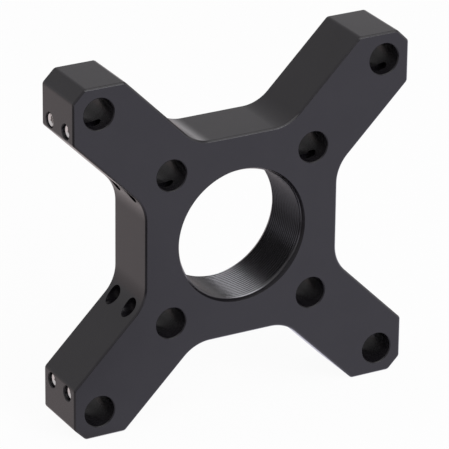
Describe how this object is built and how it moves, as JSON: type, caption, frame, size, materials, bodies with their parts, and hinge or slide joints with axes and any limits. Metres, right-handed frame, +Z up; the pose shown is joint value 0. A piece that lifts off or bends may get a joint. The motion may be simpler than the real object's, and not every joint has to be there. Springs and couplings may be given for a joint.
{
  "type": "optical cage plate",
  "caption": "X-shaped black cage plate with a threaded centre bore, rod bores on two nested squares, and recessed socket set screws that grip the rods.",
  "frame": {"origin": "middle of the centre bore, halfway through the plate's thickness", "axes": "optical axis along Y, front face to -Y, +Z up, +X to the right as seen from the front"},
  "size_m": [0.0706, 0.0126, 0.0706],
  "materials": {
    "anodised_plate": "fine matt black anodised",
    "screw_steel": "bright stainless steel"
  },
  "bodies": {
    "plate": {"cage_plate": "anodised_plate"},
    "screw_outer_upper_left_front": {"set_screw_outer_upper_left_front": "screw_steel"},
    "screw_outer_upper_left_back": {"set_screw_outer_upper_left_back": "screw_steel"},
    "screw_outer_upper_right_front": {"set_screw_outer_upper_right_front": "screw_steel"},
    "screw_outer_upper_right_back": {"set_screw_outer_upper_right_back": "screw_steel"},
    "screw_outer_lower_left_front": {"set_screw_outer_lower_left_front": "screw_steel"},
    "screw_outer_lower_left_back": {"set_screw_outer_lower_left_back": "screw_steel"},
    "screw_outer_lower_right_front": {"set_screw_outer_lower_right_front": "screw_steel"},
    "screw_outer_lower_right_back": {"set_screw_outer_lower_right_back": "screw_steel"},
    "screw_inner_upper_left_front": {"set_screw_inner_upper_left_front": "screw_steel"},
    "screw_inner_upper_left_back": {"set_screw_inner_upper_left_back": "screw_steel"},
    "screw_inner_upper_right_front": {"set_screw_inner_upper_right_front": "screw_steel"},
    "screw_inner_upper_right_back": {"set_screw_inner_upper_right_back": "screw_steel"},
    "screw_inner_lower_left_front": {"set_screw_inner_lower_left_front": "screw_steel"},
    "screw_inner_lower_left_back": {"set_screw_inner_lower_left_back": "screw_steel"},
    "screw_inner_lower_right_front": {"set_screw_inner_lower_right_front": "screw_steel"},
    "screw_inner_lower_right_back": {"set_screw_inner_lower_right_back": "screw_steel"}
  },
  "joints": [
    {"name": "advance_outer_upper_left_front", "type": "slide", "parent": "plate", "child": "screw_outer_upper_left_front", "axis": [1, 0, 0], "range_m": [-0.00058, 0.00029]},
    {"name": "advance_outer_upper_left_back", "type": "slide", "parent": "plate", "child": "screw_outer_upper_left_back", "axis": [1, 0, 0], "range_m": [-0.0003, 0.00057]},
    {"name": "advance_outer_upper_right_front", "type": "slide", "parent": "plate", "child": "screw_outer_upper_right_front", "axis": [-1, 0, 0], "range_m": [-0.00058, 0.00029]},
    {"name": "advance_outer_upper_right_back", "type": "slide", "parent": "plate", "child": "screw_outer_upper_right_back", "axis": [-1, 0, 0], "range_m": [-0.0003, 0.00057]},
    {"name": "advance_outer_lower_left_front", "type": "slide", "parent": "plate", "child": "screw_outer_lower_left_front", "axis": [1, 0, 0], "range_m": [-0.00074, 0.00013]},
    {"name": "advance_outer_lower_left_back", "type": "slide", "parent": "plate", "child": "screw_outer_lower_left_back", "axis": [1, 0, 0], "range_m": [-0.00063, 0.00024]},
    {"name": "advance_outer_lower_right_front", "type": "slide", "parent": "plate", "child": "screw_outer_lower_right_front", "axis": [-1, 0, 0], "range_m": [-0.00074, 0.00013]},
    {"name": "advance_outer_lower_right_back", "type": "slide", "parent": "plate", "child": "screw_outer_lower_right_back", "axis": [-1, 0, 0], "range_m": [-0.00063, 0.00024]},
    {"name": "advance_inner_upper_left_front", "type": "slide", "parent": "plate", "child": "screw_inner_upper_left_front", "axis": [1, 0, 0], "range_m": [-0.0008, 0.00045]},
    {"name": "advance_inner_upper_left_back", "type": "slide", "parent": "plate", "child": "screw_inner_upper_left_back", "axis": [1, 0, 0], "range_m": [-0.0008, 0.00045]},
    {"name": "advance_inner_upper_right_front", "type": "slide", "parent": "plate", "child": "screw_inner_upper_right_front", "axis": [-1, 0, 0], "range_m": [-0.0008, 0.00045]},
    {"name": "advance_inner_upper_right_back", "type": "slide", "parent": "plate", "child": "screw_inner_upper_right_back", "axis": [-1, 0, 0], "range_m": [-0.0008, 0.00045]},
    {"name": "advance_inner_lower_left_front", "type": "slide", "parent": "plate", "child": "screw_inner_lower_left_front", "axis": [1, 0, 0], "range_m": [-0.0008, 0.00045]},
    {"name": "advance_inner_lower_left_back", "type": "slide", "parent": "plate", "child": "screw_inner_lower_left_back", "axis": [1, 0, 0], "range_m": [-0.0008, 0.00045]},
    {"name": "advance_inner_lower_right_front", "type": "slide", "parent": "plate", "child": "screw_inner_lower_right_front", "axis": [-1, 0, 0], "range_m": [-0.0008, 0.00045]},
    {"name": "advance_inner_lower_right_back", "type": "slide", "parent": "plate", "child": "screw_inner_lower_right_back", "axis": [-1, 0, 0], "range_m": [-0.0008, 0.00045]}
  ]
}
